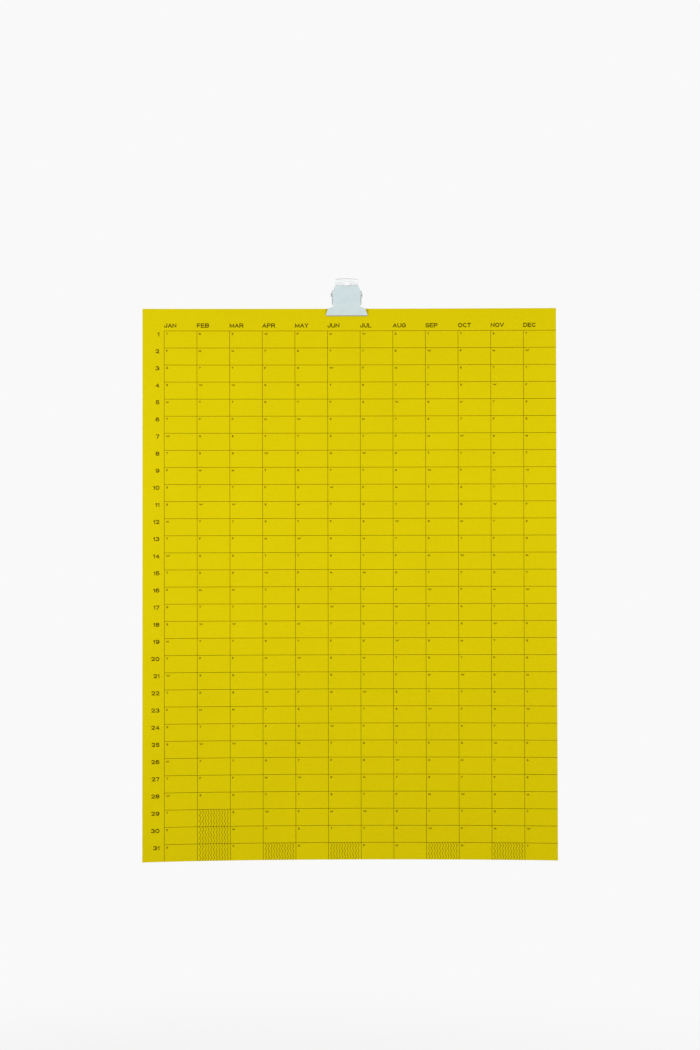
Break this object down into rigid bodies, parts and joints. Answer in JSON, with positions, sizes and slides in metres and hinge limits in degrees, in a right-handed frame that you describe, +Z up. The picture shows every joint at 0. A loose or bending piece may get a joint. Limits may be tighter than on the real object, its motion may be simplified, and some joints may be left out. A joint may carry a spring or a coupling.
{
  "type": "wall calendar",
  "caption": "Large single-sheet wall calendar with a printed grid of days by months, held at its top edge in a sprung steel hinge clip with a hanging hole.",
  "frame": {"origin": "centre of the clip's hanging hole, on the plane of the wall", "axes": "+Z up along the sheet's height, +Y into the wall, +X to the right of someone who faces the print"},
  "size_m": [0.4572, 0.0286, 0.6441],
  "materials": {
    "yellow_paper": "matt uncoated cover stock",
    "olive_ink": "matt printing ink",
    "pale_enamel": "semi-gloss pale grey-blue enamel",
    "zinc_steel": "bright zinc",
    "spring_steel": "drawn wire"
  },
  "bodies": {
    "hung_calendar": {"calendar_sheet": "yellow_paper", "printed_day_lines": "olive_ink", "printed_month_lines": "olive_ink", "printed_hatching": "olive_ink", "rear_jaw": "pale_enamel", "pivot_pin": "zinc_steel", "torsion_spring": "spring_steel"},
    "front_jaw": {"front_jaw": "pale_enamel"}
  },
  "joints": [
    {"name": "clip_hinge", "type": "hinge", "parent": "hung_calendar", "child": "front_jaw", "pos_m": [0, -0.009, -0.0135], "axis": [-1, 0, 0], "range_deg": [0, 45], "stiffness_Nm_per_rad": 0.1, "springref_deg": -45.84, "deforming": ["torsion_spring"]}
  ]
}
